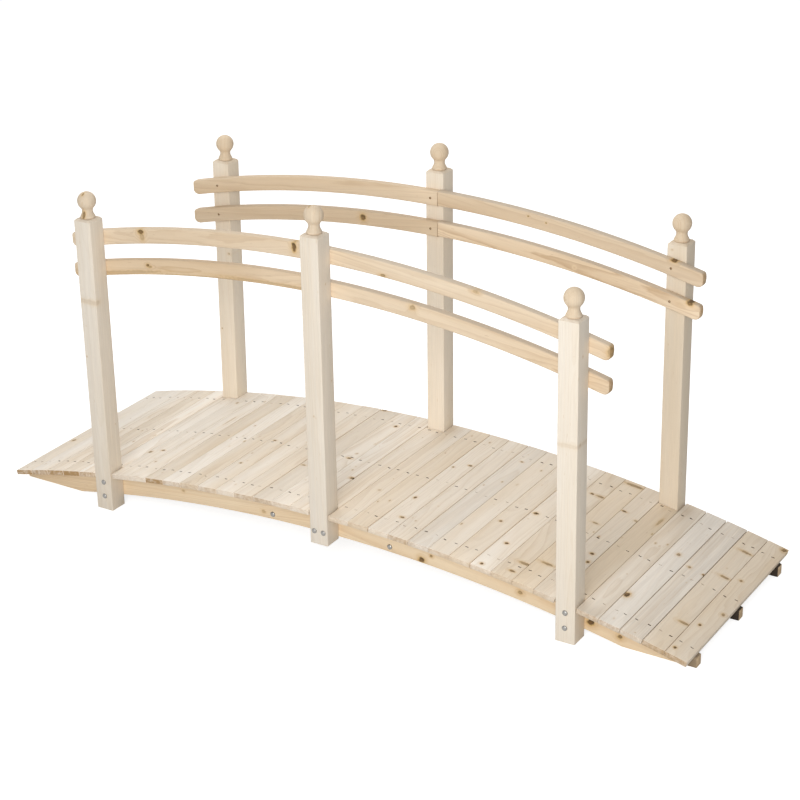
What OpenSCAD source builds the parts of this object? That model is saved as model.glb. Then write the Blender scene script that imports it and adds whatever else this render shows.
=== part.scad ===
// Arched wooden footbridge for a garden, with two railings and turned ball finials.
// Millimetres. X runs along the bridge, Y across it, Z up; the origin is on the ground at the middle.

/* [Deck] */
// Radius of the stringers' top edge, which the deck boards lie on
arch_r = 4600; // [3000:10:9000]
// Width of one deck board
board_w = 63.5; // [50:0.5:90]
// Thickness of one deck board
board_t = 15; // [10:1:28]
// Gap between two deck boards
board_gap = 1.3; // [0.5:0.1:6]
// Length of a full deck board, which is the width of the bridge
bridge_w = 702; // [500:1:1200]
// Boards in each bay, between two pairs of posts
bay_boards = 11; // [6:1:16]
// Boards in each ramp, beyond the end posts
ramp_boards = 5; // [3:1:8]
// Play at each end of a short board, between two posts
short_board_play = 1; // [0:0.5:5]

/* [Stringers] */
// Depth of a stringer, from its top edge to its underside
stringer_d = 77; // [60:1:120]
// Thickness of a stringer
stringer_t = 28; // [20:1:50]
// Height of a stringer's end face above the ground
tip_h = 30; // [15:1:50]
// Reach of a stringer past the last deck board
tip_reach = 3; // [0:1:30]
// Length of the board that joins two half stringers
splice_l = 500; // [300:10:700]
// Thickness of that board
splice_t = 28; // [15:1:45]
// Distance of that board from the stringer's edges
splice_inset = 4; // [2:1:10]

/* [Posts] */
// Side of a square post
post_w = 58; // [40:1:90]
// Length of a post
post_l = 918; // [700:1:1200]
// Chamfer round a post's top
post_chamfer = 6; // [2:1:12]
// Reach of a middle post below the stringer
post_lip = 7; // [0:1:30]
// Room between a post and the boards beside it
post_room = 2; // [1:0.5:6]

/* [Rails] */
// Height of a rail
rail_h = 45; // [30:1:70]
// Thickness of a rail
rail_t = 24; // [15:1:40]
// Drop from a post's top to the top of the upper rail
rail_drop = 51; // [20:1:120]
// Clear gap between the upper and the lower rail
rail_gap = 48; // [30:1:120]
// Reach of a rail past the middle of an end post
rail_reach = 84; // [60:1:150]
// How much larger the nose radius at a rail's end is than half the rail's height
nose_extra = 3; // [2:1:15]
// Bearing of a rail's shorter half on the edge of the middle post
rail_bearing = 3; // [1:0.5:15]

/* [Finials] */
// Diameter of the ball
ball_d = 54; // [40:1:80]
// Diameter of the neck under the ball
neck_d = 32; // [16:1:36]
// Height of the neck above the post
neck_h = 28; // [15:1:50]
// Diameter of the foot
foot_d = 43; // [38:1:50]
// Height of the foot's straight edge
foot_h = 5; // [2:1:10]

/* [Hidden] */
ENDS = ["left", "right"];
SIDES = ["front", "back"];

// Facets of the large arcs, which are true circles in the solids
ARC_FACETS = 1440;
// Facets of the finials and of the rails' noses
ROUND_FACETS = 96;

// Sizes along the arch, measured on the stringers' top edge
board_pitch = board_w + board_gap;
post_tilt = degrees_along(arch_r, (bay_boards + 1) * board_pitch);
post_slot_need = (post_w + board_t * sin(post_tilt) + 2 * post_room) / cos(post_tilt) - 2 * board_gap;
short_board_w = max(board_w, post_slot_need);
bay_start = short_board_w / 2 + board_gap;
post_s = bay_start + bay_boards * board_pitch + short_board_w / 2;
ramp_start = post_s + bay_start;
deck_end_s = ramp_start + ramp_boards * board_pitch - board_gap;

// Heights, with the ground at zero
deck_r = arch_r + board_t;
tip_x = deck_r * sin(degrees_along(arch_r, deck_end_s)) + tip_reach;
arch_z = tip_h - sqrt(arch_r * arch_r - tip_x * tip_x);
underside_r = arch_r - stringer_d;
middle_foot_z = arch_z + underside_r - post_lip;
post_x = (arch_r + board_t / 2) * sin(degrees_along(arch_r, post_s));

// Sizes across the bridge
post_in_y = bridge_w / 2 - post_w;
short_board_l = 2 * (post_in_y - short_board_play);

// The rails keep one distance below the post tops, so they bend more than the deck
rail_r = (post_x * post_x + middle_foot_z * middle_foot_z) / (2 * middle_foot_z);
upper_rail_z = middle_foot_z + post_l - rail_drop - rail_h / 2;
lower_rail_z = upper_rail_z - rail_h - rail_gap;
rail_joint_x = post_w / 2 - rail_bearing;
nose_r = rail_h / 2 + nose_extra;
nose_x = post_x + rail_reach - nose_r;

// The splice boards stay within the stringers' edges over their whole length
splice_low_z = arch_z + underside_r + splice_inset;
splice_high_z = arch_z + sqrt(arch_r * arch_r - splice_l * splice_l / 4) - splice_inset;

ball_z = neck_h + sqrt(ball_d * ball_d - neck_d * neck_d) / 2;

// Angle in degrees of a length s along an arc of radius r
function degrees_along(r, s) = s / r * 180 / PI;
// Sign along X of an end, and along Y of a side
function end_sign(end) = end == "left" ? -1 : end == "right" ? 1 : 0;
function side_sign(side) = side == "front" ? -1 : side == "back" ? 1 : 0;
// Place along the arch of board i in a row that starts at s
function board_s(start, i) = start + i * board_pitch + board_w / 2;

// One flat board of width w and length l, laid on the arch at the place s
module board(s, w, l) {
    translate([0, 0, arch_z])
        rotate([0, degrees_along(arch_r, s), 0])
            translate([-w / 2, -l / 2, arch_r])
                cube([w, l, board_t]);
}

// A row of full boards from the place start outwards, towards one end
module board_row(end, start, count) {
    color("wheat")
        for (i = [0 : count - 1])
            board(end_sign(end) * board_s(start, i), board_w, bridge_w);
}

// A short board between the two posts of a pair
module short_board(end) {
    color("wheat")
        board(end_sign(end) * post_s, short_board_w, short_board_l);
}

// Outline of an arched band with its circles' centre at height z
module arch_band(outer_r, inner_r, z) {
    translate([0, z])
        difference() {
            circle(r = outer_r, $fn = ARC_FACETS);
            circle(r = inner_r, $fn = ARC_FACETS);
        }
}

// Stands an outline up in the XZ plane and makes it thick, from y_low along +Y
module upright(y_low, thickness) {
    translate([0, y_low + thickness, 0])
        rotate([90, 0, 0])
            linear_extrude(thickness)
                children();
}

// Right half of a stringer's outline: arched, cut flat on the ground and square at the tip
module half_stringer_outline() {
    intersection() {
        arch_band(arch_r, underside_r, arch_z);
        square([tip_x, arch_z + arch_r + board_t]);
    }
}

module half_stringer(side, end) {
    y_low = side == "front" ? -post_in_y : side == "back" ? post_in_y - stringer_t : -stringer_t / 2;
    color("burlywood")
        mirror([end == "left" ? 1 : 0, 0, 0])
            upright(y_low, stringer_t)
                half_stringer_outline();
}

// Inner board that joins the two halves of a stringer
module splice(side) {
    behind = post_in_y - stringer_t;
    y_low = side == "front" ? -behind : side == "back" ? behind - splice_t : stringer_t / 2;
    color("tan")
        translate([-splice_l / 2, y_low, splice_low_z])
            cube([splice_l, splice_t, splice_high_z - splice_low_z]);
}

// Side outline of a post that stands on zero, with its top edges chamfered
module post_outline() {
    half = post_w / 2;
    polygon([
        [-half, 0], [half, 0], [half, post_l - post_chamfer], [half - post_chamfer, post_l],
        [post_chamfer - half, post_l], [-half, post_l - post_chamfer]
    ]);
}

module place_on_post_foot(side, end) {
    foot_z = end == "middle" ? middle_foot_z : 0;
    translate([end_sign(end) * post_x, side_sign(side) * (bridge_w - post_w) / 2, foot_z])
        children();
}

module post(side, end) {
    color("antiquewhite")
        place_on_post_foot(side, end)
            intersection() {
                upright(-post_w / 2, post_w) post_outline();
                rotate([0, 0, 90]) upright(-post_w / 2, post_w) post_outline();
            }
}

// Half of a finial's turned outline
module finial_outline() {
    intersection() {
        union() {
            translate([0, ball_z]) circle(d = ball_d, $fn = ROUND_FACETS);
            polygon([
                [0, 0], [foot_d / 2, 0], [foot_d / 2, foot_h], [neck_d / 2, neck_h], [0, ball_z]
            ]);
        }
        square([ball_d, ball_z + ball_d]);
    }
}

module finial(side, end) {
    color("navajowhite")
        place_on_post_foot(side, end)
            translate([0, 0, post_l])
                rotate_extrude($fn = ROUND_FACETS)
                    finial_outline();
}

// Outline of half a rail, from the place start on the arch to its rounded nose
module half_rail_outline(middle_z, start) {
    centre_z = middle_z - rail_r;
    nose_z = centre_z + sqrt(rail_r * rail_r - nose_x * nose_x);
    intersection() {
        arch_band(rail_r + rail_h / 2, rail_r - rail_h / 2, centre_z);
        union() {
            translate([start, 0]) square([nose_x - start, middle_z + rail_h]);
            translate([nose_x, nose_z]) circle(r = nose_r, $fn = ROUND_FACETS);
        }
    }
}

// The joint lies at the right edge of the back middle post, and at the left edge of the front one
module half_rail(side, end, middle_z) {
    y_low = side == "front" ? -post_in_y : post_in_y - rail_t;
    start = side_sign(side) * end_sign(end) * rail_joint_x;
    color("burlywood")
        mirror([end == "left" ? 1 : 0, 0, 0])
            upright(y_low, rail_t)
                half_rail_outline(middle_z, start);
}

for (side = SIDES)
    for (end = ["left", "middle", "right"]) {
        post(side, end);
        finial(side, end);
    }

for (side = SIDES)
    for (end = ENDS) {
        half_rail(side, end, upper_rail_z);
        half_rail(side, end, lower_rail_z);
    }

for (side = ["front", "middle", "back"]) {
    splice(side);
    for (end = ENDS)
        half_stringer(side, end);
}

for (end = ENDS) {
    board_row(end, ramp_start, ramp_boards);
    board_row(end, bay_start, bay_boards);
    short_board(end);
}
short_board("middle");  // board_middle_posts
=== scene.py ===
"""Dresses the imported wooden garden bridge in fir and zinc, and sets it on a pale stage.

Every stick of wood is made lying along its own grain: X along the grain, Y across its face, Z through it.
It carries its grain, its tint and its knots as attributes, which the fir finishes read.
"""
import math
import random
from itertools import zip_longest

import bmesh
import bpy
import numpy as np
from bpy.props import FloatProperty
from bpy.props import FloatVectorProperty
from bpy.props import IntProperty
from bpy.props import PointerProperty
from mathutils import Matrix
from mathutils import Vector
from mathutils import noise


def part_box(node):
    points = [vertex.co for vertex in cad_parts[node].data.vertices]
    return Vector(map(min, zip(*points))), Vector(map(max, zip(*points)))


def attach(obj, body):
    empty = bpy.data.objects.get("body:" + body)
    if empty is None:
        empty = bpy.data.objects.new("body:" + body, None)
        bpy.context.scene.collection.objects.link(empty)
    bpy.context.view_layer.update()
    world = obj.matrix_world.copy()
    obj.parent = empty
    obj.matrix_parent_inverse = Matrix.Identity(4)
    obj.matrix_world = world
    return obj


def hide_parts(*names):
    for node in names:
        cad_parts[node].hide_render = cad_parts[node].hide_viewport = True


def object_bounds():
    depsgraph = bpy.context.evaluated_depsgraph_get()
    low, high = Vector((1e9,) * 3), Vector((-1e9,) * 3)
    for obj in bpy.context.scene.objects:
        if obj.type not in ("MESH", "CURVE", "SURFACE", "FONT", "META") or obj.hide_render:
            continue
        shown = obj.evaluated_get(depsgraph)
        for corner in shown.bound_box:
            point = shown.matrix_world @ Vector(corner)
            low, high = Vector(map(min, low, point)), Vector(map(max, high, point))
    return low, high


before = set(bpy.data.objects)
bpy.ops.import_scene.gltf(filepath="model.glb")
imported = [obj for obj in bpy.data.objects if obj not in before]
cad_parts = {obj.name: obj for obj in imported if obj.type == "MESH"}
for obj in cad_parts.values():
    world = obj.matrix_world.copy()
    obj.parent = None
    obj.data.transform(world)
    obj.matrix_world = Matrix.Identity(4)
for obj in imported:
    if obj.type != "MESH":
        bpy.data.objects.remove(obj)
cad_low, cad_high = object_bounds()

bl_info = {
    "name": "Garden bridge",
    "version": (1, 0, 0),
    "blender": (4, 2, 0),
    "location": "3D View > Sidebar > Bridge",
    "description": "Builds the boards, rails, posts, finials and hardware of an arched wooden garden bridge",
    "category": "Add Mesh",
}

MM = 0.001
BODY = "root"
ENDS = {"left": -1, "right": 1}
SIDES = {"front": -1, "back": 1}
POST_PLACES = ("left", "middle", "right")
STRINGER_ROWS = ("front", "middle", "back")
WHITE = (1.0, 1.0, 1.0)

# Boards are counted from the middle board, 0, towards the right, up to 17
BAY_LAST = 11
POST_BOARD = 12
RAMP_LAST = 17

# Attributes that the fir finishes read
KNOT_LAYERS = ("knot_a", "knot_b", "knot_c", "knot_d", "knot_e")
POINT_LAYERS = ("grain", "tone") + KNOT_LAYERS
FACE_LAYERS = ("end_grain", "sawn_edge", "bruise", "figure")
NO_KNOT = (90.0, 90.0, 0.0)

# How squarely a face looks to an end or to an edge when it starts to show it, and when it shows it in full
END_FACING = (0.35, 0.85)
EDGE_FACING = (0.40, 0.85)
# How squarely a face looks along one axis to count as flat, and the angles at which edges stay sharp
FLAT_FACING = 0.9995
SHARP_WOOD = math.radians(38)
SHARP_METAL = math.radians(35)
# Faces this far inside a board are the walls of its staple slots, which are darkened as crushed wood and
# painted shade
SLOT_DEPTH = 1.2 * MM
# Faces this far below a rail's face are the walls of its screw holes, and they are this dark, as crushed
# wood and painted shade in the hole
HOLE_DEPTH = 0.3 * MM
HOLE_BRUISE_AND_SHADE = 0.5

# How each kind of stick is sawn: least and most depth of the log's heart below it in m, and the heart's
# lean
SAWING = {
    "deck": ((0.015, 0.12), 0.022),
    "post": ((0.05, 0.14), 0.012),
    "finial": ((0.03, 0.07), 0.05),
    "rail": ((0.02, 0.09), 0.012),
    "stringer": ((0.02, 0.10), 0.012),
    "splice": ((0.02, 0.10), 0.02),
}
# How far along the log, and to either side of its heart, a stick may be sawn, in m
LOG_LENGTH = 40.0
LOG_SPREAD = 0.045
# How brown the sawn ends of each kind of stick are; the boards have their own
END_BROWN = {"post": 0.5, "finial": 0.1, "rail": 1.1, "stringer": 0.85, "splice": 0.5}

# Angles in degrees above which an edge is a square corner, a corner of an arched stick, or a chamfer's edge
SQUARE_CORNER = 60
ARCH_CORNER = 50
CHAMFER_CORNER = 38
# Steps of a bar's rounded edge, and the most of its half height or half thickness that the edge may take
EASE_STEPS = 5
EASE_LIMIT = 0.96


def swatch(red, green, blue):
    """A colour read off a sample card, 0 to 255, as the linear values that shaders take."""
    shares = [value / 255 for value in (red, green, blue)]
    return tuple(c / 12.92 if c <= 0.04045 else ((c + 0.055) / 1.055) ** 2.4 for c in shares)


def middle_of(node):
    """The middle of a CAD node's box."""
    low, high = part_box(node)
    return (low + high) / 2


def size_of(node):
    """The three sides of a CAD node's box."""
    low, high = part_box(node)
    return high - low


def foot_of(node):
    """The middle of the underside of a CAD node's box."""
    low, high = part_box(node)
    return Vector(((low.x + high.x) / 2, (low.y + high.y) / 2, low.z))


def end_of(node):
    """The end of the bridge that half a rail or half a stringer reaches: -1 on the left, 1 on the right."""
    low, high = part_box(node)
    return 1 if high.x > -low.x else -1


def share_between(values, start, full):
    """How far values have come from a start to a full value, from 0 to 1."""
    return np.clip((values - start) / (full - start), 0.0, 1.0)


# Sizes and colours a user may change
def length(name, description, default):
    """A length in metres."""
    return FloatProperty(name=name, description=description, default=default, unit="LENGTH", precision=4)


def position(name, description, default):
    """A place on the stage, in metres."""
    return FloatVectorProperty(
        name=name, description=description, default=default, subtype="TRANSLATION", unit="LENGTH")


def turning(name, description, degrees):
    """An angle, written in degrees."""
    return FloatProperty(name=name, description=description, default=math.radians(degrees), subtype="ANGLE")


def lamp_power(name, description, default):
    """The power of a lamp, in watts."""
    return FloatProperty(name=name, description=description, default=default, subtype="POWER", unit="POWER")


def colour(name, description, default):
    """A colour of a finish."""
    return FloatVectorProperty(
        name=name, description=description, default=default, subtype="COLOR", min=0, max=1)


class BridgeDeckSizes(bpy.types.PropertyGroup):
    """Sizes of the deck boards, the stringers under them and the staples."""

    arch_radius: length("Arch radius", "Radius of the stringers' top edge", 4.6)
    board_width: length("Board width", "Width of one deck board", 0.0635)
    board_thickness: length("Board thickness", "Thickness of one deck board", 0.015)
    board_gap: length("Board gap", "Gap between two deck boards", 0.0013)
    board_ease: length("Board edge", "Rounding of a deck board's edges", 0.0011)
    stringer_depth: length("Stringer depth", "Depth of a stringer below its top edge", 0.077)
    stringer_ease: length("Stringer edge", "Rounding of a stringer's edges", 0.0016)
    staple_width: length("Staple width", "Width of a staple's crown", 0.0085)
    staple_wire: length("Staple wire", "Thickness of a staple's wire", 0.0014)
    staple_slot: length("Staple slot", "Width of the slot a staple is driven into", 0.0042)
    staple_sink: length("Staple sink", "Depth of the slot a staple is driven into", 0.0034)


class BridgeRailSizes(bpy.types.PropertyGroup):
    """Sizes of the rails, posts and finials."""

    rail_height: length("Rail height", "Height of a rail", 0.045)
    rail_ease: length("Rail edge", "Rounding of a rail's edges", 0.0050)
    nose_top: length("Nose, upper corner", "Radius of the upper corner of a rail's nose", 0.009)
    nose_bottom: length("Nose, lower corner", "Radius of the lower corner of a rail's nose", 0.024)
    rail_joint: length("Rail joint", "Gap between the two halves of a rail", 0.0014)
    post_chamfer: length("Post chamfer", "Chamfer round a post's top", 0.006)
    post_ease: length("Post edge", "Rounding of a post's long edges", 0.0022)


class BridgeHardwareSizes(bpy.types.PropertyGroup):
    """Sizes of the bolts and screws."""

    bolt_head: length("Bolt head", "Diameter of a bolt's domed head", 0.0158)
    bolt_dome: length("Bolt dome", "Height of a bolt's domed head", 0.0048)
    nut_width: length("Nut width", "Width of a nut across its flats", 0.013)
    washer: length("Washer", "Diameter of the washer under a nut", 0.020)
    screw_head: length("Screw head", "Diameter of a rail screw's head", 0.0074)
    screw_sink: length("Screw sink", "Depth of a rail screw's head below the wood", 0.0016)


class BridgeColours(bpy.types.PropertyGroup):
    """Colours of the fir and the zinc."""

    post_pale: colour("Post, pale", "Pale wood of the posts", swatch(240, 230, 215))
    post_tan: colour("Post, tan", "Darker wood of the posts", swatch(231, 215, 191))
    post_line: colour("Post, ring", "Growth rings of the posts", swatch(214, 191, 158))
    finial_pale: colour("Finial, pale", "Pale wood of the finials", swatch(230, 212, 187))
    finial_tan: colour("Finial, tan", "Darker wood of the finials", swatch(218, 195, 164))
    finial_line: colour("Finial, ring", "Growth rings of the finials", swatch(200, 170, 130))
    rail_pale: colour("Rail, pale", "Pale wood of the rails", swatch(232, 213, 187))
    rail_tan: colour("Rail, tan", "Darker wood of the rails", swatch(216, 190, 156))
    rail_line: colour("Rail, ring", "Growth rings of the rails", swatch(184, 151, 112))
    deck_pale: colour("Deck, pale", "Pale wood of the boards", swatch(249, 240, 227))
    deck_tan: colour("Deck, tan", "Darker wood of the boards", swatch(234, 215, 188))
    deck_line: colour("Deck, ring", "Growth rings of the boards", swatch(202, 176, 143))
    stringer_pale: colour("Stringer, pale", "Pale wood of the stringers", swatch(245, 226, 196))
    stringer_tan: colour("Stringer, tan", "Darker wood of the stringers", swatch(235, 206, 167))
    stringer_line: colour("Stringer, ring", "Growth rings of the stringers", swatch(206, 170, 126))
    knot_heart: colour("Knot, heart", "Wood inside a knot", swatch(98, 68, 36))
    knot_rim: colour("Knot, rim", "Dark rim of a knot", swatch(44, 31, 19))
    knot_halo: colour("Knot, halo", "Stained wood round a knot", swatch(206, 168, 106))
    stain: colour("Stain", "Grey stain in the sapwood", swatch(184, 176, 166))
    end_wood: colour("End grain", "Wood on a sawn end", swatch(176, 142, 99))
    # The sawn colour stands for rough sawn wood, and for painted shade on the rails' tops
    sawn_and_shaded_wood: colour("Sawn edge", "Wood on a bandsawn edge", swatch(184, 173, 158))
    # The bruised colour is crushed wood, and painted shade in the staple slots, the screw holes and at the
    # stringer tips
    bruised_and_shaded_wood: colour("Bruised wood", "Crushed wood in a staple's slot", swatch(92, 74, 54))
    zinc: colour("Zinc", "Plated hardware", swatch(158, 156, 152))
    dark_steel: colour("Dark steel", "Staples in their slots", swatch(126, 110, 90))
    brown_steel: colour("Brown steel", "Rail screws", swatch(158, 126, 88))


class BridgeStage(bpy.types.PropertyGroup):
    """The camera, the light and the floor."""

    camera_place: position("Camera place", "Where the camera stands", (2.837, -4.487, 2.7608))
    camera_turn: turning("Camera turn", "Turn of the camera to the left of the Y axis", 31.783)
    camera_dip: turning("Camera dip", "How far the camera looks down", 24.011)
    camera_roll: turning("Camera roll", "Roll of the camera", -0.816)
    camera_lens: FloatProperty(
        name="Lens", description="Focal length on a 36 mm sensor", default=90.52, unit="CAMERA")
    softbox_place: position("Softbox place", "Where the softbox hangs", (1.9, -4.95, 2.55))
    softbox_aim: position("Softbox aim", "The point that both softboxes face", (0.0, 0.0, 0.4))
    softbox_size: length("Softbox size", "Side of the softbox", 3.1)
    softbox_power: lamp_power("Softbox power", "Power of the softbox", 206.0)
    overhead_place: position("Overhead place", "Where the overhead softbox hangs", (-1.6, 1.4, 4.2))
    overhead_size: length("Overhead size", "Side of the overhead softbox", 4.0)
    overhead_power: lamp_power("Overhead power", "Power of the overhead softbox", 92.0)
    room_power: FloatProperty(
        name="Room light", description="Strength of the light from all round", default=0.34)
    floor_size: length("Floor size", "Side of the floor", 60.0)
    floor_pale: colour("Floor", "Colour of the floor", (0.60, 0.60, 0.60))
    seed: IntProperty(name="Seed", description="Draws the grain, the tints and the small knots", default=11)


SETTING_GROUPS = {
    "bridge_deck": BridgeDeckSizes,
    "bridge_rails": BridgeRailSizes,
    "bridge_hardware": BridgeHardwareSizes,
    "bridge_colours": BridgeColours,
    "bridge_stage": BridgeStage,
}


# How the wood was sawn
class Cut:
    """How one stick was sawn from its log: where the log's heart lies, the stick's tint and its knots."""

    def __init__(self, rng, kind, tone, end_brown, figure=1.0):
        heart_depth, sway = SAWING[kind]
        self.start = rng.uniform(0.0, LOG_LENGTH)
        self.heart_across = rng.uniform(-LOG_SPREAD, LOG_SPREAD)
        self.heart_below = rng.uniform(*heart_depth)
        self.lean_across = rng.uniform(-sway, sway) / 2
        self.lean_below = rng.uniform(-sway, sway)
        self.tone = tone
        self.end_brown = end_brown
        self.figure = figure
        self.bruised_and_shaded = 0.0
        self.tip_shade = None
        self.holes = []
        self.knots = []

    def knot(self, along, across, half_long, half_wide, strength, turn=0.0, through="z"):
        """Adds a knot at a place on the stick's face, or on its edge where it runs through Y."""
        self.knots.append((along, across, half_long, half_wide, strength, turn, through))

    def marked_knots(self, rows):
        """Adds the knots of a table: place and half sizes in mm, strength, and axis if it isn't z."""
        for along, across, half_long, half_wide, strength, *through in rows:
            self.knot(along * MM, across * MM, half_long * MM, half_wide * MM, strength, 0.0, *through)

    def follow(self, stations):
        """Lays the log's heart along a bent stick, from its first station to its last."""
        first = stations[0]
        last = stations[-1]
        self.lean_across = -(last[1] - first[1]) / (last[0] - first[0])
        self.heart_across += first[1]

    def grain_at(self, points):
        """Places in the log, with X along its heart."""
        along = points[:, 0]
        across = points[:, 1] - self.heart_across + self.lean_across * along
        below = points[:, 2] + self.heart_below + self.lean_below * along
        return np.stack([along + self.start, across, below], axis=1)

    def knot_at(self, knot, points):
        """Places seen from a knot, with its rim at a distance of one, and its strength."""
        values = np.empty_like(points)
        if knot is None:
            values[:] = NO_KNOT
            return values
        along, across, half_long, half_wide, strength, turn, through = knot
        ahead = points[:, 0] - along
        aside = points[:, 1 if through == "z" else 2] - across
        values[:, 0] = (ahead * math.cos(turn) + aside * math.sin(turn)) / half_long
        values[:, 1] = (aside * math.cos(turn) - ahead * math.sin(turn)) / half_wide
        values[:, 2] = strength
        return values

    def bruise_and_shade_at(self, points, middles, facing_end):
        """How dark the wood is at the middles of its faces: crushed wood with painted shade in staple slots
        and screw holes, and painted shade on the side faces near the right stringer tips.
        """
        depths = np.minimum(middles - points.min(axis=0), points.max(axis=0) - middles)
        bruise = (depths.min(axis=1) > SLOT_DEPTH) * self.bruised_and_shaded
        sunk = depths[:, 2] > HOLE_DEPTH
        for along, across, radius in self.holes:
            distance = np.hypot(middles[:, 0] - along, middles[:, 1] - across)
            bruise[sunk & (distance < radius)] = HOLE_BRUISE_AND_SHADE
        # Painted shade on the side faces near the right stringer tips, under the deck's last board; the end
        # faces stay clean
        if self.tip_shade:
            shade_start, shade_full, depth = self.tip_shade
            tip_shading = share_between(middles[:, 0], shade_start, shade_full)
            bruise = np.maximum(bruise, tip_shading * depth * (1.0 - facing_end))
        return bruise


class Stack:
    """The sticks of one piece, with their grain, on the way to one mesh."""

    def __init__(self):
        self.points = []
        self.faces = []
        self.smooth = []
        self.count = 0
        self.layers = {name: [] for name in POINT_LAYERS + FACE_LAYERS}

    def add(self, bm, place, cut, sawn=0.0, all_smooth=False):
        """Takes a stick, puts it in its place and keeps its grain."""
        bm.normal_update()
        bm.verts.index_update()
        points = np.array([vert.co[:] for vert in bm.verts])
        normals = np.array([face.normal[:] for face in bm.faces])
        middles = np.array([face.calc_center_median()[:] for face in bm.faces])
        facing_end = share_between(np.abs(normals[:, 0]), *END_FACING)
        facing_edge = share_between(np.abs(normals[:, 1]), *EDGE_FACING)
        self.layers["grain"].append(cut.grain_at(points))
        self.layers["tone"].append(np.tile(cut.tone, (len(points), 1)))
        for layer, knot in zip_longest(KNOT_LAYERS, cut.knots[:len(KNOT_LAYERS)]):
            self.layers[layer].append(cut.knot_at(knot, points))
        self.layers["end_grain"].append(facing_end * cut.end_brown)
        # The sawn edges' share, which on the rails is partly painted shade
        self.layers["sawn_edge"].append(facing_edge * sawn)
        self.layers["bruise"].append(cut.bruise_and_shade_at(points, middles, facing_end))
        self.layers["figure"].append(np.full(len(normals), cut.figure))
        flat = np.abs(normals).max(axis=1) > FLAT_FACING
        self.smooth.append(np.logical_or(all_smooth, ~flat))
        turn = np.array(place)
        self.points.append(points @ turn[:3, :3].T + turn[:3, 3])
        self.faces.extend([self.count + vert.index for vert in face.verts] for face in bm.faces)
        self.count += len(points)
        bm.free()

    def piece(self, name, finish, slot, nodes=()):
        """Makes the piece, which rides on the bridge and stands for the CAD nodes named."""
        mesh = bpy.data.meshes.new(name)
        mesh.from_pydata(np.concatenate(self.points).tolist(), [], self.faces)
        for layer in POINT_LAYERS:
            values = mesh.attributes.new(layer, "FLOAT_VECTOR", "POINT")
            values.data.foreach_set("vector", np.concatenate(self.layers[layer]).ravel())
        for layer in FACE_LAYERS:
            values = mesh.attributes.new(layer, "FLOAT", "FACE")
            values.data.foreach_set("value", np.concatenate(self.layers[layer]).astype(float))
        mesh.polygons.foreach_set("use_smooth", np.concatenate(self.smooth))
        mesh.set_sharp_from_angle(angle=SHARP_WOOD)
        return settle(name, mesh, finish, nodes)


def settle(name, mesh, finish, nodes=()):
    """Puts a mesh in the scene as a piece of the bridge."""
    mesh.materials.append(finish)
    piece = bpy.data.objects.new(name, mesh)
    bpy.context.scene.collection.objects.link(piece)
    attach(piece, BODY)
    if nodes:
        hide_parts(*nodes)
    return piece


def settle_shape(name, bm, finish):
    """Puts a shape in the scene as a piece of plated hardware."""
    mesh = bpy.data.meshes.new(name)
    bm.to_mesh(mesh)
    bm.free()
    return settle(name, mesh, finish)


def lone_stick(node, bm, place, cut, finish, slot, sawn=0.0, all_smooth=False):
    """Makes a piece of one stick, which stands for one CAD node."""
    stack = Stack()
    stack.add(bm, place, cut, sawn, all_smooth)
    stack.piece(f"fir_{node}", finish, slot, [node])


# Ways to shape a stick
def sawn_block(long, wide, thick):
    """A square-sawn block round the origin."""
    bm = bmesh.new()
    bmesh.ops.create_cube(bm, size=1.0)
    bmesh.ops.scale(bm, vec=(long, wide, thick), verts=bm.verts[:])
    return bm


def skinned(rings):
    """A closed shape over rings of points, from one end to the other."""
    bm = bmesh.new()
    loops = [[bm.verts.new(point) for point in ring] for ring in rings]
    count = len(loops[0])
    for near, far in zip(loops, loops[1:]):
        for i in range(count):
            j = (i + 1) % count
            bm.faces.new((near[i], near[j], far[j], far[i]))
    bm.faces.new(loops[0])
    bm.faces.new(loops[-1])
    bmesh.ops.recalc_face_normals(bm, faces=bm.faces[:])
    return bm


def bent_slab(stations, thickness):
    """A slab with a curved top and bottom line, from (x, top, bottom) at each station."""
    half = thickness / 2
    rings = []
    for x, top, bottom in stations:
        rings.append(((x, top, half), (x, top, -half), (x, bottom, -half), (x, bottom, half)))
    return skinned(rings)


def eased_bar(stations, ease_radius):
    """A bar with rounded edges, from (x, top, bottom, half thickness) at each station."""
    rings = []
    for x, top, bottom, half in stations:
        tall = (top - bottom) / 2
        radius = min(ease_radius, EASE_LIMIT * tall, EASE_LIMIT * half)
        ring = []
        for quarter, (up, aside) in enumerate(((1, 1), (-1, 1), (-1, -1), (1, -1))):
            for i in range(EASE_STEPS + 1):
                angle = math.pi / 2 * (quarter + i / EASE_STEPS)
                y = (top + bottom) / 2 + up * (tall - radius) + radius * math.cos(angle)
                z = aside * (half - radius) + radius * math.sin(angle)
                ring.append((x, y, z))
        rings.append(ring)
    return skinned(rings)


def turned(profile, sides):
    """A turned shape round the X axis, from (x, radius) along its profile."""
    angles = [2 * math.pi * i / sides for i in range(sides)]
    rings = []
    for x, radius in profile:
        rings.append([(x, radius * math.cos(angle), radius * math.sin(angle)) for angle in angles])
    return skinned(rings)


def in_order(bm):
    """A stick with its faces in a fixed order, which bevels don't keep from one run to the next."""
    bm.verts.index_update()
    rows = []
    for face in bm.faces:
        corners = [vert.index for vert in face.verts]
        first = corners.index(min(corners))
        rows.append(corners[first:] + corners[:first])
    ordered = bmesh.new()
    verts = [ordered.verts.new(vert.co) for vert in bm.verts]
    for corners in sorted(rows):
        ordered.faces.new([verts[i] for i in corners])
    bm.free()
    return ordered


def in_mm(rows):
    """A profile from rows of (x, radius) in mm."""
    return [(x * MM, radius * MM) for x, radius in rows]


def edges_sharper_than(bm, degrees):
    """The edges whose faces meet at more than an angle."""
    limit = math.radians(degrees)
    return [edge for edge in bm.edges if edge.is_manifold and edge.calc_face_angle() > limit]


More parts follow.
